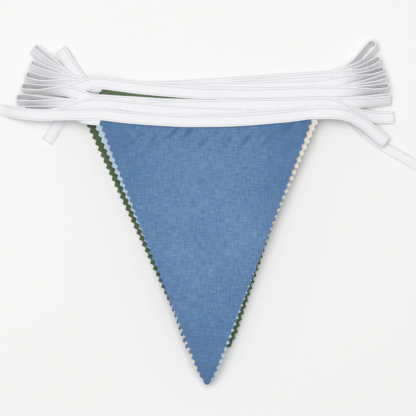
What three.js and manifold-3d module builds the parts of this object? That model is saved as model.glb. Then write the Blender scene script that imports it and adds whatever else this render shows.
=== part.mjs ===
// Pennant bunting: seventeen pinked cloth pennants on one long white tape, folded back and forth into a flat stack.
// Millimetres, +Z up. The stack lies on the plane z = 0, with the pennants' points towards -Y and the tape along X.
// The origin is on that plane under the pennants, about 90 mm below the uppermost pennant's seam.
import * as THREE from "three";
import { mergeVertices } from "three/addons/utils/BufferGeometryUtils.js";
import Module from "manifold-3d";

const PENNANT_WIDTH = 180; // along the seam
const PENNANT_LENGTH = 221; // from the seam to the point
const PENNANT_THICKNESS = 1; // stands in for one layer of cloth
const TIP_WIDTH = 3; // the blunt end that the shears leave at the point
const TEETH_PER_SIDE = 42; // about 5.7 mm from tooth to tooth, as pinking shears cut
const TOOTH_DEPTH = 2.3;
const TAPE_WIDTH = 10;
const TAPE_THICKNESS = 1; // both plies of the folded tape
const GAP = 0.3; // between neighbouring pieces
const LAYER_PITCH = PENNANT_THICKNESS + GAP;
const RUN_STEPS = 6; // straight pieces along one seam
// The tape runs straight on past the pennants' corners to this far out. The lowest pennant lies further left.
const RIGHT_END = 98;
const LEFT_END = 97;
const LOWEST_LEFT_END = 107;
const LOWEST_LAYERS = 2; // that end there

// The pennants from the table up. x and y are the middle of the seam, turn is anticlockwise in degrees,
// and bow is how far the seam's ends lie above its middle.
const LAYERS = [
  { cloth: "green", x: -14, y: 99, turn: 3, bow: 0 },
  { cloth: "light_blue", x: 1, y: 121.6, turn: 3.4, bow: 0.5 },
  { cloth: "mint", x: 0, y: 121.2, turn: 3.3, bow: 0.5 },
  { cloth: "blue", x: 2, y: 120.8, turn: 3.4, bow: 0.5 },
  { cloth: "green", x: 4, y: 121, turn: 3.6, bow: 0.5 },
  { cloth: "light_blue", x: -4, y: 119.4, turn: 2.2, bow: 1 },
  { cloth: "mint", x: 3, y: 118.6, turn: 0.5, bow: 1.5 },
  { cloth: "blue", x: -3.5, y: 113.5, turn: -2.6, bow: 3 },
  { cloth: "green", x: -2, y: 115, turn: -2.2, bow: 2 },
  { cloth: "light_blue", x: 0, y: 114.4, turn: -2, bow: 2.5 },
  { cloth: "green", x: -1.5, y: 113.6, turn: -2.4, bow: 5 },
  { cloth: "mint", x: -1, y: 103.2, turn: -1, bow: 2.8 },
  { cloth: "blue", x: 2, y: 101.6, turn: 0.4, bow: 2 },
  { cloth: "green", x: -0.5, y: 102.9, turn: 1.1, bow: 0 },
  { cloth: "cream", x: 3.3, y: 96.5, turn: -2.4, bow: 3.5 },
  { cloth: "light_blue", x: -5.3, y: 91.3, turn: 2, bow: 3 },
  { cloth: "blue", x: -2, y: 89.5, turn: 0.3, bow: 6.4 },
];

// The tape's loops between one layer and the next, from the table up: they turn left, right, left and so on.
// x, y and z are the middle of the loop's round end, heading is its direction there in degrees, twist is how far
// the tape has turned on its edge, open is the width of the round end, and reach is how far the loop runs straight
// out before it bends.
const LOOPS = [
  { x: -139, y: 79, z: 1.31, heading: 232, twist: 0, open: 1.6, reach: 16 },
  { x: 142, y: 159.5, z: 7.6, heading: 48, twist: 65, open: 7.6, reach: 22 },
  { x: -126, y: 155.5, z: 5.1, heading: 129, twist: 15, open: 3, reach: 10 },
  { x: 146.5, y: 146.5, z: 9.3, heading: 30, twist: 66, open: 5.1, reach: 19 },
  { x: -148.5, y: 156, z: 5.8, heading: 142, twist: 51, open: 4.9, reach: 12 },
  { x: 149.5, y: 138.5, z: 8.6, heading: 19, twist: 71, open: 4.2, reach: 12 },
  { x: -150.5, y: 142.5, z: 8.7, heading: 158, twist: 54, open: 5.3, reach: 14 },
  { x: 152.5, y: 131.5, z: 6.2, heading: 13, twist: 63, open: 4.5, reach: 10 },
  { x: -154, y: 133, z: 9.8, heading: 160, twist: 65, open: 5.8, reach: 14 },
  { x: 153.5, y: 124, z: 9.3, heading: 7, twist: 69, open: 4.4, reach: 11 },
  { x: -157.5, y: 123.5, z: 9.6, heading: 175, twist: 73, open: 5.5, reach: 11 },
  { x: 156, y: 114.5, z: 5.1, heading: 8, twist: 42, open: 3.5, reach: 12 },
  { x: -162, y: 114, z: 5.9, heading: 181, twist: 69, open: 5.8, reach: 10 },
  { x: 159.5, y: 99, z: 2.1, heading: 8, twist: 0, open: 2.2, reach: 24 },
  { x: -156, y: 104, z: 5.9, heading: 182, twist: 71, open: 5.2, reach: 21 },
  { x: 152, y: 78, z: 7.7, heading: -39, twist: 0, open: 4.3, reach: 27 },
];
const LEG_STEPS = 11; // along each side of a loop
const JOIN_SPAN = [0, 0.5]; // shares of a loop's length over which its two sides come together
const TWIST_SPAN = [0.15, 0.8]; // over which the tape turns on its edge
const OPEN_SPAN = [0.3, 0.95]; // over which the loop opens
const DROP_SPAN = [0.1, 1]; // over which it comes down to the table
const ROUND_END_STEPS = 4; // half circle at a loop's end

// The tape's two free ends, from the stack outwards: the middle of the tape, which lies flat.
const TAIL_RIGHT = [
  { x: 98, y: 110.2, z: 0.52 },
  { x: 109, y: 108.5, z: 0.52 },
  { x: 121, y: 99.5, z: 0.52 },
  { x: 133, y: 87.5, z: 0.52 },
  { x: 147, y: 76.5, z: 0.52 },
  { x: 166, y: 65.5, z: 0.52 },
  { x: 187, y: 54, z: 0.52 },
];
const TAIL_LEFT = [
  { x: -97, y: 100.7, z: 21.3 },
  { x: -110, y: 100.8, z: 21.2 },
  { x: -127, y: 100.4, z: 18.5 },
  { x: -145, y: 100.2, z: 15 },
  { x: -158, y: 101.3, z: 12.5 },
  { x: -168, y: 103, z: 7 },
  { x: -177, y: 105, z: 1.2 },
  { x: -186, y: 107.5, z: 0.52 },
];
const TAIL_STEPS = 12;

// Rows across the stack where a pennant bends down past the points of the pennants under it.
const STACK_HALF_WIDTH = 120;
const BEND_ROWS = [140, -86, -96, -106, -116, -126, -138];
const SUPPORT_PAST_TIP = 10; // a pennant holds up those above it this far past its point
const SUPPORT_FADE = 26; // and then they come down over this length

const CLOTHS = {
  blue: new THREE.MeshStandardMaterial({ color: "#6a8cb1", roughness: 0.85, metalness: 0, name: "blue_cloth" }),
  light_blue: new THREE.MeshStandardMaterial({ color: "#c0d0dd", roughness: 0.85, metalness: 0, name: "light_blue_cloth" }),
  green: new THREE.MeshStandardMaterial({ color: "#4b643d", roughness: 0.85, metalness: 0, name: "green_cloth" }),
  mint: new THREE.MeshStandardMaterial({ color: "#d6e0c4", roughness: 0.85, metalness: 0, name: "mint_cloth" }),
  cream: new THREE.MeshStandardMaterial({ color: "#e8dfd2", roughness: 0.85, metalness: 0, name: "cream_cloth" }),
};
const WHITE_TAPE = new THREE.MeshStandardMaterial({ color: "#eeeff0", roughness: 0.7, metalness: 0, name: "white_tape" });

const wasm = await Module();
wasm.setup();

// A closed three.js geometry as a solid that can be cut and joined.
function solidFrom(geometry) {
  const bare = new THREE.BufferGeometry();
  bare.setAttribute("position", geometry.getAttribute("position"));
  bare.setIndex(geometry.index);
  const merged = mergeVertices(bare, 1e-4);
  return new wasm.Manifold(
    new wasm.Mesh({
      numProp: 3,
      vertProperties: new Float32Array(merged.getAttribute("position").array),
      triVerts: new Uint32Array(merged.index.array),
    }),
  );
}

function geometryFrom(solid) {
  const mesh = solid.getMesh();
  const geometry = new THREE.BufferGeometry();
  geometry.setAttribute("position", new THREE.BufferAttribute(new Float32Array(mesh.vertProperties), 3));
  geometry.setIndex(new THREE.BufferAttribute(new Uint32Array(mesh.triVerts), 1));
  geometry.computeVertexNormals();
  return geometry;
}

// A point of a layer: u along the seam from its middle, v up from the seam. Past the pennant the bow ends.
function layerPoint(layer, u, v) {
  const bowed = v + layer.bow * Math.min(1, ((2 * u) / PENNANT_WIDTH) ** 2);
  const local = new THREE.Vector2(u, bowed);
  return local
    .rotateAround(new THREE.Vector2(), THREE.MathUtils.degToRad(layer.turn))
    .add(new THREE.Vector2(layer.x, layer.y));
}

function tipY(layer) {
  return layerPoint(layer, 0, -PENNANT_LENGTH).y;
}

// The height of a layer's underside at y: every layer below lifts it, until y is well past that layer's point.
function undersideHeight(index, y) {
  const lifts = LAYERS.slice(0, index).map((below) => {
    const supported = tipY(below) - SUPPORT_PAST_TIP;
    return LAYER_PITCH * THREE.MathUtils.smoothstep(y, supported - SUPPORT_FADE, supported);
  });
  return lifts.reduce((sum, lift) => sum + lift, 0);
}

// The pinked edge between two corners: a tooth's point stands out to the right of the way from start to end.
function pinkedEdge(start, end) {
  const along = end.clone().sub(start).divideScalar(TEETH_PER_SIDE);
  const out = new THREE.Vector2(-along.y, along.x).setLength(TOOTH_DEPTH);
  const points = [];
  for (let tooth = 0; tooth < TEETH_PER_SIDE; tooth += 1) {
    points.push(start.clone().addScaledVector(along, tooth));
    points.push(start.clone().addScaledVector(along, tooth + 0.5).add(out));
  }
  points.push(end);
  return points;
}

// A pennant's flat outline in its layer's own u and v: the seam from right to left, then both pinked edges.
function pennantOutline(layer) {
  const half = PENNANT_WIDTH / 2;
  const seam = [];
  for (let step = 1; step < RUN_STEPS; step += 1) {
    seam.push(new THREE.Vector2(half - (step * PENNANT_WIDTH) / RUN_STEPS, 0));
  }
  const leftCorner = new THREE.Vector2(-half, 0);
  const rightCorner = new THREE.Vector2(half, 0);
  const leftTip = new THREE.Vector2(-TIP_WIDTH / 2, -PENNANT_LENGTH);
  const rightTip = new THREE.Vector2(TIP_WIDTH / 2, -PENNANT_LENGTH);
  const leftEdge = pinkedEdge(leftTip, leftCorner).reverse();
  const rightEdge = pinkedEdge(rightCorner, rightTip).reverse();
  const outline = [...seam, ...leftEdge, ...rightEdge];
  return new THREE.Shape(outline.map(({ x, y }) => layerPoint(layer, x, y)));
}

// One pennant: a sheet bent over the stack below it, cut out by its pinked outline.
function pennantGeometry(index) {
  const rows = BEND_ROWS.length - 1;
  const blank = new THREE.BoxGeometry(2 * STACK_HALF_WIDTH, rows, 1, 1, rows, 1);
  const places = blank.getAttribute("position");
  for (let i = 0; i < places.count; i += 1) {
    const y = BEND_ROWS[Math.round(rows / 2 - places.getY(i))];
    const top = places.getZ(i) > 0 ? PENNANT_THICKNESS : 0;
    places.setY(i, y);
    places.setZ(i, undersideHeight(index, y) + top);
  }
  const tall = (LAYERS.length + 2) * LAYER_PITCH;
  const cutter = new THREE.ExtrudeGeometry(pennantOutline(LAYERS[index]), { depth: tall, bevelEnabled: false, steps: 1 });
  cutter.translate(0, 0, -LAYER_PITCH);
  return geometryFrom(solidFrom(blank).intersect(solidFrom(cutter)));
}

// A place on the tape: the middle of its section, and the direction across its width.
function station(point, across) {
  return { point, across };
}

function sideOf(index) {
  return index % 2 === 0 ? -1 : 1;
}

// The tape along one pennant's seam, from left to right.
function runStations(index) {
  const layer = LAYERS[index];
  const middle = GAP + TAPE_WIDTH / 2;
  const height = index * LAYER_PITCH + TAPE_THICKNESS / 2;
  const leftEnd = index < LOWEST_LAYERS ? LOWEST_LEFT_END : LEFT_END;
  const places = [-leftEnd - layer.x];
  for (let step = 0; step <= RUN_STEPS; step += 1) {
    places.push((step / RUN_STEPS - 0.5) * PENNANT_WIDTH);
  }
  places.push(RIGHT_END - layer.x);
  return places.map((u) => {
    const seam = layerPoint(layer, u, GAP);
    const centre = layerPoint(layer, u, middle);
    const across = centre.clone().sub(seam).normalize();
    return station(new THREE.Vector3(centre.x, centre.y, height), new THREE.Vector3(across.x, across.y, 0));
  });
}

// The direction in which the tape leaves a run's end, and where.
function runEnd(index, side) {
  const run = runStations(index);
  const [inner, end] = side > 0 ? run.slice(-2) : [run[1], run[0]];
  return { point: end.point, direction: end.point.clone().sub(inner.point).normalize() };
}

// The loop from one layer up to the next. Both sides follow one line out to the round end. As the loop opens, the
// tape turns on its edge, the lower layer's side towards +Y and the upper layer's towards -Y.
function loopStations(index) {
  const loop = LOOPS[index];
  const side = sideOf(index);
  const lower = runEnd(index, side);
  const upper = runEnd(index + 1, side);
  const root = lower.point.clone().lerp(upper.point, 0.5);
  const out = lower.direction.clone().add(upper.direction).normalize();
  const heading = THREE.MathUtils.degToRad(loop.heading);
  const tip = new THREE.Vector3(loop.x, loop.y, root.z);
  const back = new THREE.Vector3(-Math.cos(heading), -Math.sin(heading), 0);
  const line = new THREE.CubicBezierCurve3(
    root,
    root.clone().addScaledVector(out, loop.reach),
    tip.clone().addScaledVector(back, loop.reach),
    tip,
  );
  const up = new THREE.Vector3(0, 0, 1);
  const frameAt = (share) => {
    const along = line.getTangent(share);
    const level = new THREE.Vector3(-along.y, along.x, 0).multiplyScalar(side).normalize();
    const twist = THREE.MathUtils.degToRad(loop.twist) * THREE.MathUtils.smoothstep(share, ...TWIST_SPAN);
    const across = level.clone().multiplyScalar(Math.cos(twist)).addScaledVector(up, Math.sin(twist));
    const apart = level.clone().multiplyScalar(-Math.sin(twist)).addScaledVector(up, Math.cos(twist));
    const middle = line.getPoint(share);
    middle.z = THREE.MathUtils.lerp(root.z, loop.z, THREE.MathUtils.smoothstep(share, ...DROP_SPAN));
    return { along, across, apart, middle };
  };
  const widthAt = (share) => THREE.MathUtils.lerp(LAYER_PITCH, loop.open, THREE.MathUtils.smoothstep(share, ...OPEN_SPAN));
  const legPoint = (share, start, sign) => {
    const { apart, middle } = frameAt(share);
    const joined = THREE.MathUtils.smoothstep(share, ...JOIN_SPAN);
    const offset = apart.multiplyScalar((sign * widthAt(share)) / 2);
    const rootOffset = start.clone().sub(root);
    return middle.add(rootOffset.lerp(offset, joined));
  };
  const legStation = (step, start, sign) => {
    const share = step / LEG_STEPS;
    return station(legPoint(share, start, sign), frameAt(share).across);
  };
  const stations = [];
  for (let step = 1; step <= LEG_STEPS; step += 1) {
    stations.push(legStation(step, lower.point, -1));
  }
  const end = frameAt(1);
  for (let step = 1; step < ROUND_END_STEPS; step += 1) {
    const angle = Math.PI * (step / ROUND_END_STEPS - 0.5);
    const point = end.middle
      .clone()
      .addScaledVector(end.along, (Math.cos(angle) * loop.open) / 2)
      .addScaledVector(end.apart, (Math.sin(angle) * loop.open) / 2);
    stations.push(station(point, end.across));
  }
  for (let step = LEG_STEPS; step >= 1; step -= 1) {
    stations.push(legStation(step, upper.point, 1));
  }
  return stations;
}

// A free end of the tape from the end of a run outwards.
function tailStations(rows, side) {
  const line = new THREE.CatmullRomCurve3(rows.map(({ x, y, z }) => new THREE.Vector3(x, y, z)), false, "centripetal");
  const stations = [];
  for (let step = 1; step <= TAIL_STEPS; step += 1) {
    const share = step / TAIL_STEPS;
    const along = line.getTangent(share);
    const across = new THREE.Vector3(-along.y, along.x, 0).multiplyScalar(side).normalize();
    stations.push(station(line.getPoint(share), across));
  }
  return stations;
}

// The whole tape, from its right end under the stack to its left end on top.
function tapeStations() {
  const last = LAYERS.length - 1;
  const stations = tailStations(TAIL_RIGHT, 1).reverse();
  for (let index = 0; index <= last; index += 1) {
    const run = runStations(index);
    stations.push(...(index % 2 === 0 ? run.reverse() : run));
    if (index < last) {
      stations.push(...loopStations(index));
    }
  }
  stations.push(...tailStations(TAIL_LEFT, -1));
  return stations;
}

// The four corners of the tape's section at one station, turning from its upper face's +across edge.
function sectionCorners(stations, at) {
  const before = stations[Math.max(at - 1, 0)].point;
  const after = stations[Math.min(at + 1, stations.length - 1)].point;
  const along = after.clone().sub(before).normalize();
  const across = stations[at].across.clone().addScaledVector(along, -stations[at].across.dot(along)).normalize();
  const outward = along.clone().cross(across);
  const signs = [
    [1, 1],
    [-1, 1],
    [-1, -1],
    [1, -1],
  ];
  return signs.map(([wide, thick]) =>
    stations[at].point
      .clone()
      .addScaledVector(across, (wide * TAPE_WIDTH) / 2)
      .addScaledVector(outward, (thick * TAPE_THICKNESS) / 2),
  );
}

// A flat band through a list of stations. Each four-sided patch is split along its higher diagonal, so that the
// two sides of a twisted loop are split alike and stay the same distance apart.
function bandGeometry(stations) {
  const corners = stations.flatMap((_, at) => sectionCorners(stations, at));
  const triangles = [0, 3, 2, 0, 2, 1];
  for (let at = 0; at < stations.length - 1; at += 1) {
    for (let side = 0; side < 4; side += 1) {
      const a = 4 * at + side;
      const b = 4 * at + ((side + 1) % 4);
      const c = b + 4;
      const d = a + 4;
      const splitAC = corners[a].z + corners[c].z >= corners[b].z + corners[d].z;
      triangles.push(...(splitAC ? [a, b, c, a, c, d] : [a, b, d, b, c, d]));
    }
  }
  const last = 4 * (stations.length - 1);
  triangles.push(last, last + 1, last + 2, last, last + 2, last + 3);
  const geometry = new THREE.BufferGeometry().setFromPoints(corners);
  geometry.setIndex(triangles);
  geometry.computeVertexNormals();
  return geometry;
}

const bunting = new THREE.Group();
LAYERS.forEach((layer, index) => {
  const pennant = new THREE.Mesh(pennantGeometry(index), CLOTHS[layer.cloth]);
  pennant.name = `pennant_${String(index + 1).padStart(2, "0")}`;
  bunting.add(pennant);
});

const tape = new THREE.Mesh(bandGeometry(tapeStations()), WHITE_TAPE);
tape.name = "tape";
bunting.add(tape);

export default bunting;
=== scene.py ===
"""A folded pennant bunting: pinked cloth pennants sewn into one long folded white tape.

The part's solids give the layout. This script repeats the same layout in fine cloth: every pennant is a thin
woven sheet whose upper edge is sewn into the tape, and the tape is a strip folded in half over it and stitched
along its open side. All lengths are in millimetres until `to_metres` places a point in the frame.
"""

from __future__ import annotations

import logging
import math
from dataclasses import dataclass
from enum import Enum
from functools import cached_property
from typing import Any, Callable, Sequence

import bmesh
import bpy
from bpy.types import Material, Node, NodeSocket, NodeTree, Object
from mathutils import Matrix, Vector, noise

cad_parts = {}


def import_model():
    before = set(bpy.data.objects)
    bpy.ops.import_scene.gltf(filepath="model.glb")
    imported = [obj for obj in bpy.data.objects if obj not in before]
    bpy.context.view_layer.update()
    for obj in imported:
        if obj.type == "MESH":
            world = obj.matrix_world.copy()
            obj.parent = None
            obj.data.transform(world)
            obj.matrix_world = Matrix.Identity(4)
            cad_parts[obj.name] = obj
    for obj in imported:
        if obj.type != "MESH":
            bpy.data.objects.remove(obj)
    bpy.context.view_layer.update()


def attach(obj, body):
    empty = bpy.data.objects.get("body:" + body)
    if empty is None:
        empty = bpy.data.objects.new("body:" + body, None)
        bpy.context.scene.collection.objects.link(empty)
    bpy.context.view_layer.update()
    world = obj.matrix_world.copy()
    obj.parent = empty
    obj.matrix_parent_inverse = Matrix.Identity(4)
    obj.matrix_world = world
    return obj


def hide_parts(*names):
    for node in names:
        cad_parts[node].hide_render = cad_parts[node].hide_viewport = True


logging.basicConfig(level=logging.INFO, format="%(message)s")
LOG = logging.getLogger("bunting")

MM = 0.001
ROOT_BODY = "root"

# One pennant, without its teeth, and the teeth on each of its two free edges.
PENNANT_WIDTH = 180.0
PENNANT_LENGTH = 221.0
TIP_WIDTH = 3.0
TEETH_PER_SIDE = 42
TOOTH_DEPTH = 2.3

# The stack: a solid's thickness, the step up to the next layer, and the gap between a pennant and the tape.
SOLID_THICKNESS = 1.0
LAYER_PITCH = 1.3
SEAM_GAP = 0.3

# The tape, and how far out from the stack's middle its straight runs end.
TAPE_WIDTH = 10.0
RIGHT_END = 98.0
LEFT_END = 97.0
LOWEST_LEFT_END = 107.0
LOWEST_LAYERS = 2

# How far past its point a pennant still holds up those above it, and over what length they then come down.
SUPPORT_PAST_TIP = 10.0
SUPPORT_FADE = 26.0

# The view: the size of one pixel of the photo, its width in pixels and its middle's place.
PIXEL = 0.86
VIEW_PIXELS = 416
VIEW_CENTRE_Y = 20.4

# Offsets that keep the random values of different pieces of cloth apart.
SEED_STEP = 7.31
SEED_START = 3.7
GATHERS_SEED = 20.0
WANDER_SEED = 40.0

# The gathers under a seam: their width, their length, and how much they lean for each mm that they hang down.
GATHER_WIDTH = 6.5
GATHER_LENGTH = 26.0
GATHER_LEAN = 0.9

# How a painted shade begins and ends softly.
SOFT_STEP = {"interpolation_type": "SMOOTHSTEP"}

# A fold of the cloth that is sharper than this, in degrees, is shaded as an edge.
SHARP_ANGLE = 62.0


class Colour(Enum):
    """The bunting's cloth colours, each named as in the record's material slots."""

    BLUE = "blue_cloth"
    LIGHT_BLUE = "light_blue_cloth"
    GREEN = "green_cloth"
    MINT = "mint_cloth"
    CREAM = "cream_cloth"


@dataclass(frozen=True)
class Layer:
    """One pennant's place in the stack: the middle of its seam, its turn in degrees and its seam's bow."""

    colour: Colour
    x: float
    y: float
    turn: float
    bow: float

    def point(self, u: float, v: float) -> Vector:
        """The place of a point u along the seam from its middle and v up from the seam.

        Args:
            u: Distance along the seam, in mm.
            v: Distance above the seam, in mm.

        Returns:
            The place in the stack's plane, in mm.
        """
        bowed = v + self.bow * min(1.0, (2.0 * u / PENNANT_WIDTH) ** 2)
        turn = math.radians(self.turn)
        return Vector(
            (
                self.x + u * math.cos(turn) - bowed * math.sin(turn),
                self.y + u * math.sin(turn) + bowed * math.cos(turn),
            )
        )


@dataclass(frozen=True)
class Loop:
    """One loop of the tape at a side of the stack: the middle of its round end, and how the tape gets there.

    The heading and the twist are in degrees. The loop is `open` mm wide at its round end, and `reach` is how
    far each handle of its curve goes.
    """

    x: float
    y: float
    z: float
    heading: float
    twist: float
    open: float
    reach: float


@dataclass(frozen=True)
class TailPoint:
    """A point that the middle of the tape passes on one of its free ends, where it lies flat."""

    x: float
    y: float
    z: float


LAYERS = (
    Layer(Colour.GREEN, x=-14.0, y=99.0, turn=3.0, bow=0.0),
    Layer(Colour.LIGHT_BLUE, x=1.0, y=121.6, turn=3.4, bow=0.5),
    Layer(Colour.MINT, x=0.0, y=121.2, turn=3.3, bow=0.5),
    Layer(Colour.BLUE, x=2.0, y=120.8, turn=3.4, bow=0.5),
    Layer(Colour.GREEN, x=4.0, y=121.0, turn=3.6, bow=0.5),
    Layer(Colour.LIGHT_BLUE, x=-4.0, y=119.4, turn=2.2, bow=1.0),
    Layer(Colour.MINT, x=3.0, y=118.6, turn=0.5, bow=1.5),
    Layer(Colour.BLUE, x=-3.5, y=113.5, turn=-2.6, bow=3.0),
    Layer(Colour.GREEN, x=-2.0, y=115.0, turn=-2.2, bow=2.0),
    Layer(Colour.LIGHT_BLUE, x=0.0, y=114.4, turn=-2.0, bow=2.5),
    Layer(Colour.GREEN, x=-1.5, y=113.6, turn=-2.4, bow=5.0),
    Layer(Colour.MINT, x=-1.0, y=103.2, turn=-1.0, bow=2.8),
    Layer(Colour.BLUE, x=2.0, y=101.6, turn=0.4, bow=2.0),
    Layer(Colour.GREEN, x=-0.5, y=102.9, turn=1.1, bow=0.0),
    Layer(Colour.CREAM, x=3.3, y=96.5, turn=-2.4, bow=3.5),
    Layer(Colour.LIGHT_BLUE, x=-5.3, y=91.3, turn=2.0, bow=3.0),
    Layer(Colour.BLUE, x=-2.0, y=89.5, turn=0.3, bow=6.4),
)

LOOPS = (
    Loop(x=-139.0, y=79.0, z=1.31, heading=232.0, twist=0.0, open=1.6, reach=16.0),
    Loop(x=142.0, y=159.5, z=7.6, heading=48.0, twist=65.0, open=7.6, reach=22.0),
    Loop(x=-126.0, y=155.5, z=5.1, heading=129.0, twist=15.0, open=3.0, reach=10.0),
    Loop(x=146.5, y=146.5, z=9.3, heading=30.0, twist=66.0, open=5.1, reach=19.0),
    Loop(x=-148.5, y=156.0, z=5.8, heading=142.0, twist=51.0, open=4.9, reach=12.0),
    Loop(x=149.5, y=138.5, z=8.6, heading=19.0, twist=71.0, open=4.2, reach=12.0),
    Loop(x=-150.5, y=142.5, z=8.7, heading=158.0, twist=54.0, open=5.3, reach=14.0),
    Loop(x=152.5, y=131.5, z=6.2, heading=13.0, twist=63.0, open=4.5, reach=10.0),
    Loop(x=-154.0, y=133.0, z=9.8, heading=160.0, twist=65.0, open=5.8, reach=14.0),
    Loop(x=153.5, y=124.0, z=9.3, heading=7.0, twist=69.0, open=4.4, reach=11.0),
    Loop(x=-157.5, y=123.5, z=9.6, heading=175.0, twist=73.0, open=5.5, reach=11.0),
    Loop(x=156.0, y=114.5, z=5.1, heading=8.0, twist=42.0, open=3.5, reach=12.0),
    Loop(x=-162.0, y=114.0, z=5.9, heading=181.0, twist=69.0, open=5.8, reach=10.0),
    Loop(x=159.5, y=99.0, z=2.1, heading=8.0, twist=0.0, open=2.2, reach=24.0),
    Loop(x=-156.0, y=104.0, z=5.9, heading=182.0, twist=71.0, open=5.2, reach=21.0),
    Loop(x=152.0, y=78.0, z=7.7, heading=-39.0, twist=0.0, open=4.3, reach=27.0),
)

TAIL_RIGHT = (
    TailPoint(x=98.0, y=110.2, z=0.52),
    TailPoint(x=109.0, y=108.5, z=0.52),
    TailPoint(x=121.0, y=99.5, z=0.52),
    TailPoint(x=133.0, y=87.5, z=0.52),
    TailPoint(x=147.0, y=76.5, z=0.52),
    TailPoint(x=166.0, y=65.5, z=0.52),
    TailPoint(x=187.0, y=54.0, z=0.52),
)

TAIL_LEFT = (
    TailPoint(x=-97.0, y=100.7, z=21.3),
    TailPoint(x=-110.0, y=100.8, z=21.2),
    TailPoint(x=-127.0, y=100.4, z=18.5),
    TailPoint(x=-145.0, y=100.2, z=15.0),
    TailPoint(x=-158.0, y=101.3, z=12.5),
    TailPoint(x=-168.0, y=103.0, z=7.0),
    TailPoint(x=-177.0, y=105.0, z=1.2),
    TailPoint(x=-186.0, y=107.5, z=0.52),
)


def smoothstep(value: float, low: float, high: float) -> float:
    """An even rise from 0 at `low` to 1 at `high`."""
    share = min(1.0, max(0.0, (value - low) / (high - low)))
    return share * share * (3.0 - 2.0 * share)


def mix(start: float, end: float, share: float) -> float:
    """The value a share of the way from start to end."""
    return start + (end - start) * share


def tip_y(layer: Layer) -> float:
    """How far up the photo a pennant's point lies, in mm."""
    return layer.point(0.0, -PENNANT_LENGTH).y


def underside_height(index: int, y: float) -> float:
    """The height at which a layer lies on those below it.

    Args:
        index: The layer, counted from the table.
        y: The place along the stack, in mm.

    Returns:
        The height in mm. It falls once y is past the points of the pennants below.
    """
    supported = (tip_y(below) - SUPPORT_PAST_TIP for below in LAYERS[:index])
    return sum(LAYER_PITCH * smoothstep(y, tip - SUPPORT_FADE, tip) for tip in supported)


def ripple(across: float, along: float, seed: float) -> float:
    """A smooth random value from about -1 to 1, the same on every run.

    Args:
        across: Distance across the cloth, in units of the ripple's own size.
        along: Distance along the cloth, in the same units.
        seed: Which piece of cloth this is.

    Returns:
        The value at that place.
    """
    return noise.noise(Vector((across, along, SEED_STEP * seed + SEED_START)))


@dataclass(frozen=True)
class Station:
    """A place on the tape, in mm: the middle of its section and the direction across its width."""

    point: Vector
    across: Vector


@dataclass(frozen=True)
class Bezier:
    """A cubic curve from a start to an end, with a handle at each."""

    start: Vector
    start_handle: Vector
    end_handle: Vector
    end: Vector

    def point(self, share: float) -> Vector:
        """The place a share of the way along."""
        rest = 1.0 - share
        return (
            self.start * rest**3
            + self.start_handle * (3.0 * rest * rest * share)
            + self.end_handle * (3.0 * rest * share * share)
            + self.end * share**3
        )

    def direction(self, share: float) -> Vector:
        """The direction of travel a share of the way along."""
        rest = 1.0 - share
        slope = (
            (self.start_handle - self.start) * (rest * rest)
            + (self.end_handle - self.start_handle) * (2.0 * rest * share)
            + (self.end - self.end_handle) * (share * share)
        )
        return slope.normalized()


@dataclass(frozen=True)
class SplineThrough:
    """A smooth curve that passes through each of its points."""

    points: Sequence[Vector]

    def point(self, share: float) -> Vector:
        """The place a share of the way along, with the same share of the way to each point.

        Args:
            share: From 0 at the first point to 1 at the last.

        Returns:
            The place on the curve.
        """
        spans = len(self.points) - 1
        at = min(int(share * spans), spans - 1)
        weight = share * spans - at
        here, there = self.points[at], self.points[at + 1]
        before = self.points[at - 1] if at > 0 else here * 2.0 - there
        after = self.points[at + 2] if at + 2 <= spans else there * 2.0 - here
        gap_before, gap, gap_after = (
            max((b - a).length, 1e-6) ** 0.5 for a, b in ((before, here), (here, there), (there, after))
        )
        leave = self._slope(before, here, there, gap_before, gap) * gap
        arrive = self._slope(here, there, after, gap, gap_after) * gap
        return (
            here
            + leave * weight
            + (there * 3.0 - here * 3.0 - leave * 2.0 - arrive) * weight**2
            + (here * 2.0 - there * 2.0 + leave + arrive) * weight**3
        )

    def direction(self, share: float) -> Vector:
        """The direction of travel a share of the way along."""
        step = 1e-4
        return (self.point(min(1.0, share + step)) - self.point(max(0.0, share - step))).normalized()

    @staticmethod
    def _slope(first: Vector, middle: Vector, last: Vector, gap_in: float, gap_out: float) -> Vector:
        """The curve's slope at the middle one of three points, from the gaps between them."""
        whole = (last - first) / (gap_in + gap_out)
        return (middle - first) / gap_in - whole + (last - middle) / gap_out


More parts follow.
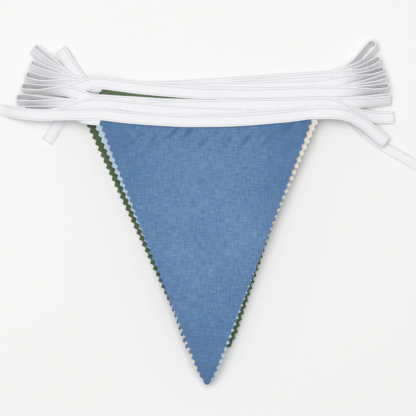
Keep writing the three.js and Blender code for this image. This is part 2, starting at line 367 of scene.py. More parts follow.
@dataclass(frozen=True)
class TapePath:
    """The line that the tape follows: in from a free end, back and forth along the seams, and out to the other.

    A span gives the shares of a loop's side over which the tape changes from its run's state to the loop's.
    """

    run_steps: int = 26
    leg_steps: int = 22
    round_end_steps: int = 10
    tail_steps: int = 36
    join_span: tuple[float, float] = (0.0, 0.5)
    twist_span: tuple[float, float] = (0.15, 0.8)
    open_span: tuple[float, float] = (0.3, 0.95)
    drop_span: tuple[float, float] = (0.1, 1.0)

    @staticmethod
    def side_of(index: int) -> int:
        """-1 where the loop above a layer is at the left, and 1 where it is at the right."""
        return -1 if index % 2 == 0 else 1

    def run(self, index: int) -> list[Station]:
        """The tape along one pennant's seam.

        Args:
            index: The layer.

        Returns:
            The stations from left to right.
        """
        layer = LAYERS[index]
        height = index * LAYER_PITCH + SOLID_THICKNESS / 2.0
        left = -(LOWEST_LEFT_END if index < LOWEST_LAYERS else LEFT_END) - layer.x
        right = RIGHT_END - layer.x
        places = []
        for step in range(self.run_steps + 1):
            u = mix(left, right, step / self.run_steps)
            seam = layer.point(u, SEAM_GAP)
            middle = layer.point(u, SEAM_GAP + TAPE_WIDTH / 2.0)
            across = (middle - seam).normalized()
            places.append(Station(Vector((*middle, height)), Vector((*across, 0.0))))
        return places

    def run_end(self, index: int, side: int) -> tuple[Vector, Vector]:
        """Where the tape leaves a run and in which direction.

        Args:
            index: The layer.
            side: -1 for the left end and 1 for the right end.

        Returns:
            The middle of the tape there and its direction outwards.
        """
        run = self.run(index)
        inner, end = (run[-2], run[-1]) if side > 0 else (run[1], run[0])
        return end.point, (end.point - inner.point).normalized()

    def loop(self, index: int) -> list[Station]:
        """The loop from one layer up to the next.

        Both sides follow one line out to the round end. As the loop opens, the tape turns on its edge, the
        lower layer's side towards the top of the photo and the upper layer's towards the pennants' points.

        Args:
            index: The loop, which joins this layer with the next.

        Returns:
            The stations between the two runs, the lower side first.
        """
        loop, side = LOOPS[index], self.side_of(index)
        lower, lower_way = self.run_end(index, side)
        upper, upper_way = self.run_end(index + 1, side)
        root = (lower + upper) / 2.0
        out = (lower_way + upper_way).normalized()
        heading = math.radians(loop.heading)
        tip = Vector((loop.x, loop.y, root.z))
        back = Vector((-math.cos(heading), -math.sin(heading), 0.0))
        line = Bezier(root, root + out * loop.reach, tip + back * loop.reach, tip)
        up = Vector((0.0, 0.0, 1.0))

        def frame_at(share: float) -> tuple[Vector, Vector, Vector, Vector]:
            """How the loop stands at one place of its line.

            Args:
                share: How far out the place is, from 0 to 1.

            Returns:
                The line's direction, the tape's direction across, that from side to side, and the middle.
            """
            along = line.direction(share)
            level = Vector((-along.y, along.x, 0.0)).normalized() * side
            twist = math.radians(loop.twist) * smoothstep(share, *self.twist_span)
            across = level * math.cos(twist) + up * math.sin(twist)
            apart = up * math.cos(twist) - level * math.sin(twist)
            middle = line.point(share)
            middle.z = mix(root.z, loop.z, smoothstep(share, *self.drop_span))
            return along, across, apart, middle

        def leg(share: float, start: Vector, sign: int) -> Station:
            """A place on one of the loop's two sides.

            Args:
                share: How far out the place is, from 0 to 1.
                start: Where this side leaves its run.
                sign: -1 for the lower side and 1 for the upper one.

            Returns:
                The station there.
            """
            _, across, apart, middle = frame_at(share)
            width = mix(LAYER_PITCH, loop.open, smoothstep(share, *self.open_span))
            offset = (start - root).lerp(apart * (sign * width / 2.0), smoothstep(share, *self.join_span))
            return Station(middle + offset, across)

        shares = [step / self.leg_steps for step in range(1, self.leg_steps + 1)]
        along, across, apart, middle = frame_at(1.0)
        stations = [leg(share, lower, -1) for share in shares]
        for step in range(1, self.round_end_steps):
            angle = math.pi * (step / self.round_end_steps - 0.5)
            offset = (along * math.cos(angle) + apart * math.sin(angle)) * (loop.open / 2.0)
            stations.append(Station(middle + offset, across))
        return stations + [leg(share, upper, 1) for share in reversed(shares)]

    def tail(self, rows: Sequence[TailPoint], side: int) -> list[Station]:
        """A free end of the tape from a run's end outwards.

        Args:
            rows: The points that the tape passes.
            side: -1 at the left and 1 at the right.

        Returns:
            The stations past the run's end.
        """
        line = SplineThrough([Vector((row.x, row.y, row.z)) for row in rows])
        stations = []
        for step in range(1, self.tail_steps + 1):
            share = step / self.tail_steps
            along = line.direction(share)
            across = Vector((-along.y, along.x, 0.0)).normalized() * side
            stations.append(Station(line.point(share), across))
        return stations

    def stations(self) -> list[Station]:
        """The whole tape.

        Returns:
            The stations from its right end under the stack to its left end on top.
        """
        stations = self.tail(TAIL_RIGHT, 1)[::-1]
        for index in range(len(LAYERS)):
            run = self.run(index)
            stations += run[::-1] if index % 2 == 0 else run
            if index < len(LOOPS):
                stations += self.loop(index)
        return stations + self.tail(TAIL_LEFT, -1)


def to_metres(place: Vector) -> Vector:
    """A place in millimetres as one in Blender's metres."""
    return place * MM


def linear_colour(code: str) -> tuple[float, float, float, float]:
    """An sRGB hex colour as the linear one that a shader takes.

    Args:
        code: The colour, such as "#6a8cb1".

    Returns:
        Red, green, blue and an opaque alpha.
    """
    shares = (int(code[at : at + 2], 16) / 255.0 for at in (1, 3, 5))
    return (*(s / 12.92 if s <= 0.04045 else ((s + 0.055) / 1.055) ** 2.4 for s in shares), 1.0)


def add_node(
    tree: NodeTree,
    kind: str,
    settings: dict[str, Any] | None = None,
    inputs: dict[str | int, Any] | None = None,
) -> Node:
    """Adds a node with its settings, its values and what is linked to it.

    Args:
        tree: The material's or the world's nodes.
        kind: Blender's name for the node.
        settings: The node's own properties.
        inputs: For each socket a value, or another node's output to link to it.

    Returns:
        The new node.
    """
    node = tree.nodes.new(kind)
    for name, value in (settings or {}).items():
        setattr(node, name, value)
    for name, value in (inputs or {}).items():
        if isinstance(value, NodeSocket):
            tree.links.new(value, node.inputs[name])
        else:
            node.inputs[name].default_value = value
    return node


def blank_material(name: str) -> Material:
    """A new material without any node.

    Args:
        name: The material's name.

    Returns:
        The material, whose nodes are in use.
    """
    made = bpy.data.materials.new(name)
    made.use_nodes = True
    made.node_tree.nodes.clear()
    return made


@dataclass(frozen=True)
class WovenFinish:
    """A plain-woven cloth, dyed in one colour.

    The eye sees matt threads that cross at right angles, a few of them thicker, and the dye a little uneven.
    Lengths are in mm. A span gives the values at which a shade begins and is full. The painted shade that
    darkens the corners and the point, so that the middle looks lit, is measured from a middle that lies
    `edge_centre` of the stretched length below the seam. A painted shadow along the seam, and fine crease lines
    that are partly painted shade, are added only where a finish gives their colours.
    """

    name: str
    dark: str
    light: str
    thread: float = 0.45
    thread_share: float = 0.25
    thread_relief: float = 0.6
    slub_width: float = 1.15
    slub_length: float = 7.5
    slub_depth: float = 0.12
    dye_patch: float = 38.0
    dye_share: float = 0.45
    tone_span: tuple[float, float] = (0.95, 1.75)
    # How much painted shade darkens the corners and the point, so that the middle looks lit.
    painted_edge_shade: float = 0.0
    edge_centre: float = 0.3
    edge_stretch: float = 1.15
    edge_span: tuple[float, float] = (0.12, 0.6)
    # Fine lines along a folded strip: partly pressed crease and stitch lines, partly painted shade for the
    # steps between tapes.
    crease_and_shade: str = ""
    crease_and_shade_lines: tuple[float, ...] = ()
    crease_half: float = 0.28
    crease_share: float = 0.6
    # The colour of the painted shadow along the seam and in its gathers, and where it falls.
    painted_seam_shadow: str = ""
    seam_span: tuple[float, float] = (-1.5, -0.2)
    hang_span: tuple[float, float] = (-30.0, -2.0)
    gather_slant: float = -0.75
    gather_span: tuple[float, float] = (0.5, 0.72)
    bump: float = 0.6
    roughness: float = 0.88
    sheen: float = 0.12

    def material(self) -> Material:
        """The cloth as a material whose pattern follows the piece's own flat cut, in metres.

        Returns:
            The material. Its threads run along the cut's two directions.
        """
        made = blank_material(self.name)
        tree = made.node_tree
        cut = add_node(tree, "ShaderNodeUVMap", {"uv_map": "cut"}).outputs["UV"]
        warp = self._slubs(tree, cut, self.slub_width, self.slub_length)
        weft = self._slubs(tree, cut, self.slub_length, self.slub_width)
        dye = add_node(
            tree,
            "ShaderNodeTexNoise",
            {"noise_dimensions": "2D"},
            {"Vector": cut, "Scale": 1.0 / (self.dye_patch * MM), "Detail": 3.0},
        ).outputs["Fac"]
        threads = self._threads(tree, cut)
        painted_edge_mask = self._painted_edge_shade_mask(tree, cut)
        add = {"operation": "MULTIPLY_ADD"}
        crossed = add_node(tree, "ShaderNodeMath", add, {0: weft, 1: 1.0, 2: warp}).outputs[0]
        spread = add_node(tree, "ShaderNodeMath", add, {0: dye, 1: self.dye_share, 2: crossed}).outputs[0]
        woven = add_node(tree, "ShaderNodeMath", add, {0: threads, 1: self.thread_share, 2: spread}).outputs[0]
        # Painted shade: darker towards the corners and the point, so that the middle looks lit.
        tone = add_node(tree, "ShaderNodeMath", add, {0: painted_edge_mask, 1: -self.painted_edge_shade, 2: woven}).outputs[0]
        share = add_node(
            tree,
            "ShaderNodeMapRange",
            {},
            {"Value": tone, "From Min": self.tone_span[0], "From Max": self.tone_span[1]},
        ).outputs["Result"]
        colour = add_node(
            tree,
            "ShaderNodeMix",
            {"data_type": "RGBA"},
            {0: share, 6: linear_colour(self.dark), 7: linear_colour(self.light)},
        ).outputs[2]
        # Crease and stitch lines, darkened partly as painted shade.
        for crease_and_shade in self.crease_and_shade_lines:
            colour = self._add_crease_and_shade_line(tree, cut, colour, crease_and_shade)
        # Painted shadow along the seam, where the tape shades the cloth, and painted shade in the gathers below
        # it.
        if self.painted_seam_shadow:
            colour = self._add_painted_seam_shadow(tree, cut, colour)
        relief = add_node(
            tree, "ShaderNodeMath", add, {0: threads, 1: self.thread_relief, 2: crossed}
        ).outputs[0]
        bump = add_node(
            tree,
            "ShaderNodeBump",
            {},
            {"Height": relief, "Strength": self.bump, "Distance": self.slub_depth * MM},
        ).outputs["Normal"]
        shader = add_node(
            tree,
            "ShaderNodeBsdfPrincipled",
            {},
            {
                "Base Color": colour,
                "Roughness": self.roughness,
                "Sheen Weight": self.sheen,
                "Sheen Roughness": 0.5,
                "Normal": bump,
            },
        )
        add_node(tree, "ShaderNodeOutputMaterial", {}, {"Surface": shader.outputs["BSDF"]})
        return made

    def _painted_edge_shade_mask(self, tree: NodeTree, cut: NodeSocket) -> NodeSocket:
        """How near to its corners and its point a place on a pennant is, which sets where the painted shade
        falls.

        Args:
            tree: The material's nodes.
            cut: The place on the flat cut.

        Returns:
            From 0 in the middle of its upper part to 1 at its corners and point.
        """
        size = (1.0 / (PENNANT_WIDTH * MM), 1.0 / (PENNANT_LENGTH * self.edge_stretch * MM), 1.0)
        centred = add_node(
            tree,
            "ShaderNodeMapping",
            {},
            {"Vector": cut, "Location": (0.0, self.edge_centre, 0.0), "Scale": size},
        ).outputs["Vector"]
        away = add_node(tree, "ShaderNodeVectorMath", {"operation": "LENGTH"}, {0: centred}).outputs["Value"]
        low, high = self.edge_span
        return add_node(
            tree, "ShaderNodeMapRange", SOFT_STEP, {"Value": away, "From Min": low, "From Max": high}
        ).outputs["Result"]

    def _add_crease_and_shade_line(self, tree: NodeTree, cut: NodeSocket, colour: NodeSocket, crease_and_shade: float) -> NodeSocket:
        """A fine line along both plies of a folded strip: partly a crease or stitch line, partly painted shade.

        Args:
            tree: The material's nodes.
            cut: The place on the flat cut.
            colour: The colour without the line.
            crease_and_shade: How far the line is from the fold, in mm.

        Returns:
            The colour with the line.
        """
        across = add_node(tree, "ShaderNodeSeparateXYZ", {}, {"Vector": cut}).outputs["X"]
        ply = add_node(tree, "ShaderNodeMath", {"operation": "ABSOLUTE"}, {0: across}).outputs[0]
        near = add_node(
            tree, "ShaderNodeMath", {"operation": "COMPARE"}, {0: ply, 1: crease_and_shade * MM, 2: self.crease_half * MM}
        ).outputs[0]
        faint = add_node(
            tree, "ShaderNodeMath", {"operation": "MULTIPLY"}, {0: near, 1: self.crease_share}
        ).outputs[0]
        return add_node(
            tree, "ShaderNodeMix", {"data_type": "RGBA"}, {0: faint, 6: colour, 7: linear_colour(self.crease_and_shade)}
        ).outputs[2]

    def _add_painted_seam_shadow(self, tree: NodeTree, cut: NodeSocket, colour: NodeSocket) -> NodeSocket:
        """A painted shadow in a thin line along the seam, and painted shade in the small gathers that hang from
        it.

        Args:
            tree: The material's nodes.
            cut: The place on the flat cut.
            colour: The colour without the shade.

        Returns:
            The colour with the shade.
        """
        below = add_node(tree, "ShaderNodeSeparateXYZ", {}, {"Vector": cut}).outputs["Y"]
        line, near = (
            add_node(
                tree,
                "ShaderNodeMapRange",
                SOFT_STEP,
                {"Value": below, "From Min": low * MM, "From Max": high * MM},
            ).outputs["Result"]
            for low, high in (self.seam_span, self.hang_span)
        )
        turn = (0.0, 0.0, self.gather_slant)
        size = (GATHER_WIDTH * MM, GATHER_LENGTH * MM, 1.0)
        slanted = add_node(
            tree,
            "ShaderNodeMapping",
            {"vector_type": "TEXTURE"},
            {"Vector": cut, "Rotation": turn, "Scale": size},
        ).outputs["Vector"]
        gathers = add_node(
            tree, "ShaderNodeTexNoise", {"noise_dimensions": "2D"}, {"Vector": slanted, "Scale": 1.0}
        ).outputs["Fac"]
        low, high = self.gather_span
        folds = add_node(
            tree, "ShaderNodeMapRange", SOFT_STEP, {"Value": gathers, "From Min": low, "From Max": high}
        ).outputs["Result"]
        hung = add_node(tree, "ShaderNodeMath", {"operation": "MULTIPLY"}, {0: near, 1: folds}).outputs[0]
        painted_shadow = add_node(tree, "ShaderNodeMath", {"operation": "MAXIMUM"}, {0: line, 1: hung}).outputs[0]
        return add_node(
            tree,
            "ShaderNodeMix",
            {"data_type": "RGBA"},
            {0: painted_shadow, 6: colour, 7: linear_colour(self.painted_seam_shadow)},
        ).outputs[2]

    @staticmethod
    def _slubs(tree: NodeTree, cut: NodeSocket, width: float, length: float) -> NodeSocket:
        """Thicker and thinner stretches of the threads that run in one direction.

        Args:
            tree: The material's nodes.
            cut: The place on the flat cut.
            width: How far a stretch goes across the cut, in mm.
            length: How far it goes along it, in mm.

        Returns:
            The threads' thickness, about 0.5 on average.
        """
        scaled = add_node(
            tree,
            "ShaderNodeMapping",
            {},
            {"Vector": cut, "Scale": (1.0 / (width * MM), 1.0 / (length * MM), 1.0)},
        ).outputs["Vector"]
        return add_node(
            tree,
            "ShaderNodeTexNoise",
            {"noise_dimensions": "2D"},
            {"Vector": scaled, "Scale": 1.0, "Detail": 2.0, "Roughness": 0.6},
        ).outputs["Fac"]

    def _threads(self, tree: NodeTree, cut: NodeSocket) -> NodeSocket:
        """The over and under of single threads, which only shows close up.

        Args:
            tree: The material's nodes.
            cut: The place on the flat cut.

        Returns:
            From 0 where a thread dips to 1 where it comes up.
        """
        turns = add_node(
            tree,
            "ShaderNodeVectorMath",
            {"operation": "SCALE"},
            {0: cut, "Scale": math.pi / (self.thread * MM)},
        ).outputs["Vector"]
        waves = add_node(tree, "ShaderNodeVectorMath", {"operation": "SINE"}, {0: turns}).outputs["Vector"]
        parts = add_node(tree, "ShaderNodeSeparateXYZ", {}, {"Vector": waves}).outputs
        product = add_node(
            tree, "ShaderNodeMath", {"operation": "MULTIPLY"}, {0: parts["X"], 1: parts["Y"]}
        ).outputs[0]
        return add_node(
            tree, "ShaderNodeMath", {"operation": "MULTIPLY_ADD"}, {0: product, 1: 0.5, 2: 0.5}
        ).outputs[0]


FINISHES = {
    Colour.BLUE: WovenFinish(
        "blue cotton, plain woven and dyed, with painted shade",
        dark="#4f749d",
        light="#7196bd",
        # painted shade: the corners and the point darker, the middle lighter as if lit
        painted_edge_shade=0.45,
        # painted shadow along the seam and in the gathers that hang from it
        painted_seam_shadow="#46698f",
    ),
    Colour.LIGHT_BLUE: WovenFinish("light blue cotton, plain woven and dyed, with painted shade", dark="#a8bdd0", light="#c2d3e2"),
    Colour.GREEN: WovenFinish("dark green cotton, plain woven and dyed", dark="#435439", light="#657b56"),
    Colour.MINT: WovenFinish("mint cotton, plain woven and dyed", dark="#cbd8bb", light="#e0ead0"),
    Colour.CREAM: WovenFinish("cream cotton, plain woven and undyed", dark="#e0d6c8", light="#f0e8dc"),
}
TAPE_FINISH = WovenFinish(
    "white cotton tape, woven narrow and pressed",
    dark="#e9e9ec",
    light="#f4f4f6",
    slub_width=0.7,
    slub_length=2.6,
    slub_depth=0.05,
    # crease and stitch lines, partly painted shade for the steps between tapes
    crease_and_shade="#b9bac0",
    crease_and_shade_lines=(1.7, 8.9),
    roughness=0.75,
)


@dataclass(frozen=True)
class ThreadFinish:
    """White spun polyester sewing thread: a little glossier and brighter than the tape it is sewn through.

    The twist of its strands is finer than the render can show, so it is drawn as bands a few mm apart.
    """

    name: str = "white polyester thread, spun"
    colour: str = "#f1f1ef"
    roughness: float = 0.55
    twist_scale: float = 125.0
    twist_depth: float = 0.05

    def material(self) -> Material:
        """The thread as a material.

        Returns:
            The material, with the twist of its strands as relief.
        """
        made = blank_material(self.name)
        tree = made.node_tree
        place = add_node(tree, "ShaderNodeTexCoord").outputs["Object"]
        strands = add_node(
            tree,
            "ShaderNodeTexWave",
            {"bands_direction": "DIAGONAL"},
            {"Vector": place, "Scale": self.twist_scale, "Distortion": 1.5},
        ).outputs["Fac"]
        bump = add_node(
            tree, "ShaderNodeBump", {}, {"Height": strands, "Strength": 0.4, "Distance": self.twist_depth * MM}
        ).outputs["Normal"]
        shader = add_node(
            tree,
            "ShaderNodeBsdfPrincipled",
            {},
            {"Base Color": linear_colour(self.colour), "Roughness": self.roughness, "Normal": bump},
        )
        add_node(tree, "ShaderNodeOutputMaterial", {}, {"Surface": shader.outputs["BSDF"]})
        return made


def sheet_from_grid(
    name: str, columns: int, rows: int, place: Callable[[int, int], tuple[Vector, Vector]]
) -> Object:
    """A flat grid of cloth, each corner of which is put in its place.

    Args:
        name: The piece's name.
        columns: Corners across the cloth.
        rows: Corners along it.
        place: Gives a corner's place and where it is on the flat cut, both in mm.

    Returns:
        The sheet, without thickness, with its cut as UV coordinates in metres.
    """
    grid = bmesh.new()
    bmesh.ops.create_grid(grid, x_segments=columns - 1, y_segments=rows - 1, size=1.0)
    cut = grid.loops.layers.uv.new("cut")
    grid.verts.index_update()
    flat = {}
    for corner in grid.verts:
        column = round((corner.co.x + 1.0) / 2.0 * (columns - 1))
        row = round((corner.co.y + 1.0) / 2.0 * (rows - 1))
        point, on_cut = place(column, row)
        corner.co = to_metres(point)
        flat[corner.index] = on_cut * MM
    for face in grid.faces:
        face.smooth = True
        for corner in face.loops:
            corner[cut].uv = flat[corner.vert.index].xy
    return piece_from(grid, name)


def piece_from(shape: bmesh.types.BMesh, name: str) -> Object:
    """A finished shape as an object of the scene.

    Args:
        shape: The shape, in metres, which is used up.
        name: The piece's name.

    Returns:
        The new object, at the origin.
    """
    mesh = bpy.data.meshes.new(name)
    shape.to_mesh(mesh)
    shape.free()
    piece = bpy.data.objects.new(name, mesh)
    bpy.context.scene.collection.objects.link(piece)
    return piece


def thicken(sheet: Object, thickness: float) -> None:
    """Gives a sheet its cloth's thickness, and keeps the cut edge crisp.

    Args:
        sheet: The piece, whose surface becomes the middle of the cloth.
        thickness: The cloth's thickness in mm.
    """
    solidify = sheet.modifiers.new("cloth thickness", "SOLIDIFY")
    solidify.thickness = thickness * MM
    solidify.offset = 0.0
    depsgraph = bpy.context.evaluated_depsgraph_get()
    thick = bpy.data.meshes.new_from_object(
        sheet.evaluated_get(depsgraph), preserve_all_data_layers=True, depsgraph=depsgraph
    )
    sheet.modifiers.clear()
    sheet.data = thick
    thick.set_sharp_from_angle(angle=math.radians(SHARP_ANGLE))


def carry(piece: Object, material: Material, node: str | None = None) -> None:
    """Dresses a piece and says which part of the frame it belongs to.

    Args:
        piece: The finished piece.
        material: Its finish.
        node: The solid that the piece stands for, if it does.
    """
    piece.data.materials.clear()
    piece.data.materials.append(material)
    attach(piece, ROOT_BODY)
    if node:
        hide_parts(node)


@dataclass(frozen=True)
class Pennant:
    """One pinked pennant: a triangle of cloth whose upper edge is sewn up into the tape.

    The `inner_share` is how far out the grid goes before its last column, which carries the teeth. The sag has
    hollows of the size `sag_size` and fades out over `sag_fade` towards the seam. The pucker stands up within
    `pucker_start` of the seam and fades out over `pucker_fade`.
    """

    index: int
    columns: int = 33
    seam_allowance: float = 3.8
    seam_rows: int = 2
    cloth: float = 0.3
    inner_share: float = 0.985
    tooth_wear: float = 0.25
    wear_step: float = 0.83
    sag: float = 0.28
    sag_size: tuple[float, float] = (34.0, 46.0)
    sag_fade: float = 22.0
    pucker: float = 0.0
    pucker_start: float = 3.0
    pucker_fade: float = 11.0

    @property
    def layer(self) -> Layer:
        """Where this pennant lies in the stack."""
        return LAYERS[self.index]

    @property
    def name(self) -> str:
        """The name of the solid that this pennant stands for."""
        return f"pennant_{self.index + 1:02d}"

    def _rows(self) -> list[float]:
        """Heights of the grid's rows above the seam, from the top: one for each tooth's point and valley."""
        steps = 2 * TEETH_PER_SIDE
        inside = [self.seam_allowance / part for part in range(1, self.seam_rows + 1)]
        return inside + [-PENNANT_LENGTH * step / steps for step in range(steps + 1)]

    def _half_width(self, v: float) -> float:
        """Half the pennant's width between the valleys of its teeth, v above the seam."""
        return mix(PENNANT_WIDTH / 2.0, TIP_WIDTH / 2.0, min(1.0, max(0.0, -v / PENNANT_LENGTH)))

    def _on_cut(self, column: int, row: int, heights: Sequence[float]) -> Vector:
        """Where a corner of the grid is on the flat pennant, teeth included.

        Args:
            column: The corner's column, from the left edge.
            row: Its row, from the top.
            heights: Each row's height above the seam, in mm.

        Returns:
            The place from the seam's middle, in mm.
        """
        v = heights[row]
        side = 2.0 * column / (self.columns - 1) - 1.0
        half = self._half_width(v)
        if abs(side) < 1.0:
            return Vector((half * side * self.inner_share, v, 0.0))
        teeth_row = row - self.seam_rows
        if teeth_row % 2 == 0 or teeth_row < 0:
            return Vector((half * side, v, 0.0))
        slant = Vector((PENNANT_LENGTH, -(PENNANT_WIDTH - TIP_WIDTH) / 2.0)).normalized()
        worn = TOOTH_DEPTH - self.tooth_wear * abs(ripple(row * self.wear_step, side, self.index))
        depth = worn * smoothstep(half, TIP_WIDTH / 2.0, 2.0 * TIP_WIDTH)
        return Vector((side * (half + slant.x * depth), v + slant.y * depth, 0.0))

    def _lift(self, u: float, v: float) -> float:
        """How far the cloth stands off its flat place: it sags, and puckers below a seam that shows.

        Args:
            u: Distance along the seam from its middle, in mm.
            v: Distance above the seam, in mm.

        Returns:
            The height in mm.
        """
        away = smoothstep(-v, 0.0, self.sag_fade)
        sag = self.sag * away * ripple(u / self.sag_size[0], v / self.sag_size[1], self.index)
        if not self.pucker:
            return sag
        near_seam = smoothstep(-v, 0.0, self.pucker_start) * math.exp(v / self.pucker_fade)
        leaning = (u - GATHER_LEAN * v) / GATHER_WIDTH
        gathers = ripple(leaning, v / GATHER_LENGTH, self.index + GATHERS_SEED)
        return sag + self.pucker * near_seam * max(0.0, gathers)

    def build(self, material: Material) -> Object:
        """The pennant as a piece of the scene.

        Args:
            material: Its cloth.

        Returns:
            The finished piece.
        """
        heights = self._rows()

        def place(column: int, row: int) -> tuple[Vector, Vector]:
            """A corner's place in the stack and on the flat pennant, with its row counted from the point."""
            on_cut = self._on_cut(column, len(heights) - 1 - row, heights)
            at = self.layer.point(on_cut.x, on_cut.y)
            z = underside_height(self.index, at.y) + SOLID_THICKNESS / 2.0 + self._lift(on_cut.x, on_cut.y)
            return Vector((at.x, at.y, z)), on_cut

        piece = sheet_from_grid(f"{self.name}_cloth", self.columns, len(heights), place)
        thicken(piece, self.cloth)
        carry(piece, material, self.name)
        return piece

    def declare(self, piece: Object, below: Object | None) -> None:
        """Does nothing with the piece or with what it lies on.

        Args:
            piece: The finished piece; not used.
            below: The pennant that it lies on, if there is one; not used.
        """


@dataclass(frozen=True)
class TapeFrame:
    """A station's point, its directions along, across and off the tape, and the tape's length up to it."""

    point: Vector
    along: Vector
    across: Vector
    off: Vector
    length: float


@dataclass(frozen=True)
class Tape:
    """The long tape: a strip folded in half lengthwise over the pennants' seams, stitched along its open side.

    The stitches stand `stitch_inset` in from the open side and pull the two plies together by `pinch` each. The
    tape wanders sideways by up to `wander` over lengths of about `wander_length`.
    """

    path: TapePath
    cloth: float = 0.3
    fold_radius: float = 0.33
    stitch_inset: float = 1.3
    pinch: float = 0.07
    pinch_width: float = 0.45
    wander: float = 0.3
    wander_length: float = 23.0
    columns: tuple[float, ...] = (1.0, 0.93, 0.87, 0.8, 0.6, 0.4, 0.2, 0.05, 0.025)

    @property
    def half_strip(self) -> float:
        """Half the flat strip's width: one ply and half the fold."""
        return TAPE_WIDTH - self.fold_radius + self.fold_radius * math.pi / 2.0

    def section(self, t: float) -> tuple[float, float]:
        """A point of the folded strip's section.

        Args:
            t: Distance from the fold on the flat strip, negative on one ply and positive on the other.

        Returns:
            The place across the tape from its middle, with the fold at the far side, and the height off it.
        """
        radius = self.fold_radius
        fold_line = TAPE_WIDTH / 2.0 - radius
        bent = radius * math.pi / 2.0
        if abs(t) <= bent:
            return fold_line + radius * math.cos(t / radius), radius * math.sin(t / radius)
        across = fold_line - (abs(t) - bent)
        off_stitch = (across + TAPE_WIDTH / 2.0 - self.stitch_inset) / self.pinch_width
        return across, math.copysign(radius - self.pinch * math.exp(-off_stitch * off_stitch), t)

    def sideways(self, length: float) -> float:
        """How far the tape has wandered to its side at a length from its start."""
        return self.wander * ripple(length / self.wander_length, 0.0, WANDER_SEED)

    @cached_property
    def frames(self) -> list[TapeFrame]:
        """The tape's directions and length, which its cloth and its stitches both follow.

        Returns:
            The frame at each station.
        """
        stations = self.path.stations()
        length = 0.0
        frames = []
        for at, station in enumerate(stations):
            before, after = stations[max(at - 1, 0)], stations[min(at + 1, len(stations) - 1)]
            along = (after.point - before.point).normalized()
            across = (station.across - along * station.across.dot(along)).normalized()
            if at:
                length += (station.point - stations[at - 1].point).length
            frames.append(TapeFrame(station.point, along, across, along.cross(across), length))
        return frames

    def build(self, material: Material) -> Object:
        """The tape as one folded sheet.

        Args:
            material: Its cloth.

        Returns:
            The finished piece.
        """
        frames = self.frames
        spread = [-share for share in self.columns] + [0.0] + list(reversed(self.columns))

        def place(column: int, row: int) -> tuple[Vector, Vector]:
            """A corner's place on the folded tape and on the flat strip."""
            at = frames[row]
            t = spread[column] * self.half_strip
            wide, high = self.section(t)
            wide += self.sideways(at.length)
            return at.point + at.across * wide + at.off * high, Vector((t, at.length, 0.0))

        piece = sheet_from_grid("tape_cloth", len(spread), len(frames), place)
        thicken(piece, self.cloth)
        carry(piece, material, "tape")
        LOG.info("tape length %.2f m", frames[-1].length * MM)
        return piece


@dataclass(frozen=True)
class Stitching:
    """The row of stitches that holds the tape together, on both of its faces."""

    tape: Tape
    pitch: float = 2.8
    length: float = 2.2
    width: float = 0.4
    height: float = 0.22

    def build(self, material: Material) -> Object:
        """All stitches as one piece.

        Args:
            material: Their thread.

        Returns:
            The finished piece.
        """
        shape = bmesh.new()
        frames = self.tape.frames
        at = 0
        for stitch in range(int(frames[-1].length / self.pitch)):
            middle = (stitch + 0.5) * self.pitch
            while frames[at + 1].length < middle:
                at += 1
            self._add_pair(shape, frames[at], frames[at + 1], middle)
        piece = piece_from(shape, "tape_stitching")
        carry(piece, material)
        return piece

    def _add_pair(self, shape: bmesh.types.BMesh, before: TapeFrame, after: TapeFrame, length: float) -> None:
        """Adds one stitch on each face of the tape.

        Args:
            shape: What the stitches are added to.
            before: The last frame before them.
            after: The next frame.
            length: How far they are from the tape's start, in mm.
        """
        share = (length - before.length) / (after.length - before.length)
        point = before.point.lerp(after.point, share)
        along = before.along.lerp(after.along, share)
        across = before.across.lerp(after.across, share)
        off = before.off.lerp(after.off, share)
        t = self.tape.half_strip - self.tape.stitch_inset
        for face in (-1.0, 1.0):
            wide, high = self.tape.section(face * t)
            wide += self.tape.sideways(length)
            surface = high + face * self.tape.cloth / 2.0
            centre = point + across * wide + off * surface
            turn = Matrix((along.normalized(), across.normalized(), off.normalized())).transposed().to_4x4()
            size = Matrix.Diagonal((self.length / 2.0, self.width / 2.0, self.height / 2.0, 1.0))
            matrix = Matrix.Scale(MM, 4) @ Matrix.Translation(centre) @ turn @ size
            made = bmesh.ops.create_icosphere(shape, subdivisions=1, radius=1.0, matrix=matrix)
            for corner in made["verts"]:
                for side in corner.link_faces:
                    side.smooth = True


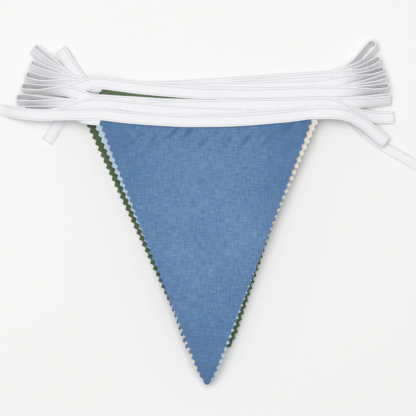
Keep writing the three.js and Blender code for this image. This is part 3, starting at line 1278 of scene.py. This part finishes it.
@dataclass(frozen=True)
class Stage:
    """A plain pale table, soft light from the upper left, and the camera straight above.

    The sizes and heights here are in metres, apart from the sensor and the height in focus, which are in mm.
    """

    floor_size: float = 4.0
    floor_colour: str = "#f4f4f3"
    camera_height: float = 2.4
    sensor: float = 36.0
    focus_plane: float = 12.0
    key_place: tuple[float, float, float] = (-0.2, 0.28, 2.35)
    key_size: float = 1.5
    key_power: float = 38.0
    sky: float = 0.42

    def build(self) -> None:
        """Adds the table, the lights and the camera."""
        self._floor()
        self._camera()
        self._key_light()
        self._sky()

    def _floor(self) -> None:
        """A matt white table top, which isn't part of the object."""
        shape = bmesh.new()
        bmesh.ops.create_grid(shape, x_segments=1, y_segments=1, size=self.floor_size / 2.0)
        floor = piece_from(shape, "table_top")
        paint = bpy.data.materials.new("white table top, painted matt")
        paint.use_nodes = True
        shader = paint.node_tree.nodes["Principled BSDF"]
        shader.inputs["Base Color"].default_value = linear_colour(self.floor_colour)
        shader.inputs["Roughness"].default_value = 0.9
        floor.data.materials.append(paint)

    def _camera(self) -> None:
        """A long lens straight above, with the photo's frame at the height of the stack's middle."""
        lens = bpy.data.cameras.new("camera")
        distance = self.camera_height - self.focus_plane * MM
        lens.sensor_width = self.sensor
        lens.lens = self.sensor * distance / (VIEW_PIXELS * PIXEL * MM)
        camera = bpy.data.objects.new("camera", lens)
        camera.location = (0.0, VIEW_CENTRE_Y * MM, self.camera_height)
        bpy.context.scene.collection.objects.link(camera)
        bpy.context.scene.camera = camera

    def _key_light(self) -> None:
        """A large soft light from the upper left."""
        lamp = bpy.data.lights.new("soft_light", "AREA")
        lamp.shape = "SQUARE"
        lamp.size = self.key_size
        lamp.energy = self.key_power
        light = bpy.data.objects.new("soft_light", lamp)
        place = Vector(self.key_place)
        light.location = place
        light.rotation_euler = (-place).to_track_quat("-Z", "Y").to_euler()
        bpy.context.scene.collection.objects.link(light)

    def _sky(self) -> None:
        """Even white light from all round."""
        world = bpy.data.worlds.new("even_light")
        world.use_nodes = True
        background = world.node_tree.nodes["Background"]
        background.inputs["Color"].default_value = (1.0, 1.0, 1.0, 1.0)
        background.inputs["Strength"].default_value = self.sky
        bpy.context.scene.world = world
        bpy.context.scene.view_settings.view_transform = "Standard"


def main() -> None:
    """Builds the bunting over its solids: the pennants from the table up, then the tape and its stitches."""
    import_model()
    Stage().build()
    cloths = {colour: finish.material() for colour, finish in FINISHES.items()}
    below = None
    for index, layer in enumerate(LAYERS):
        on_top = index == len(LAYERS) - 1
        pennant = Pennant(index, columns=97, pucker=2.2) if on_top else Pennant(index)
        piece = pennant.build(cloths[layer.colour])
        pennant.declare(piece, below)
        below = piece
        LOG.info("%s: %s, %d faces", piece.name, layer.colour.value, len(piece.data.polygons))
    tape = Tape(TapePath())
    strip = tape.build(TAPE_FINISH.material())
    LOG.info("%s: %d faces", strip.name, len(strip.data.polygons))
    stitches = Stitching(tape).build(ThreadFinish().material())
    LOG.info("%s: %d faces", stitches.name, len(stitches.data.polygons))
    length = tape.frames[-1].length


if __name__ == "__main__":
    main()
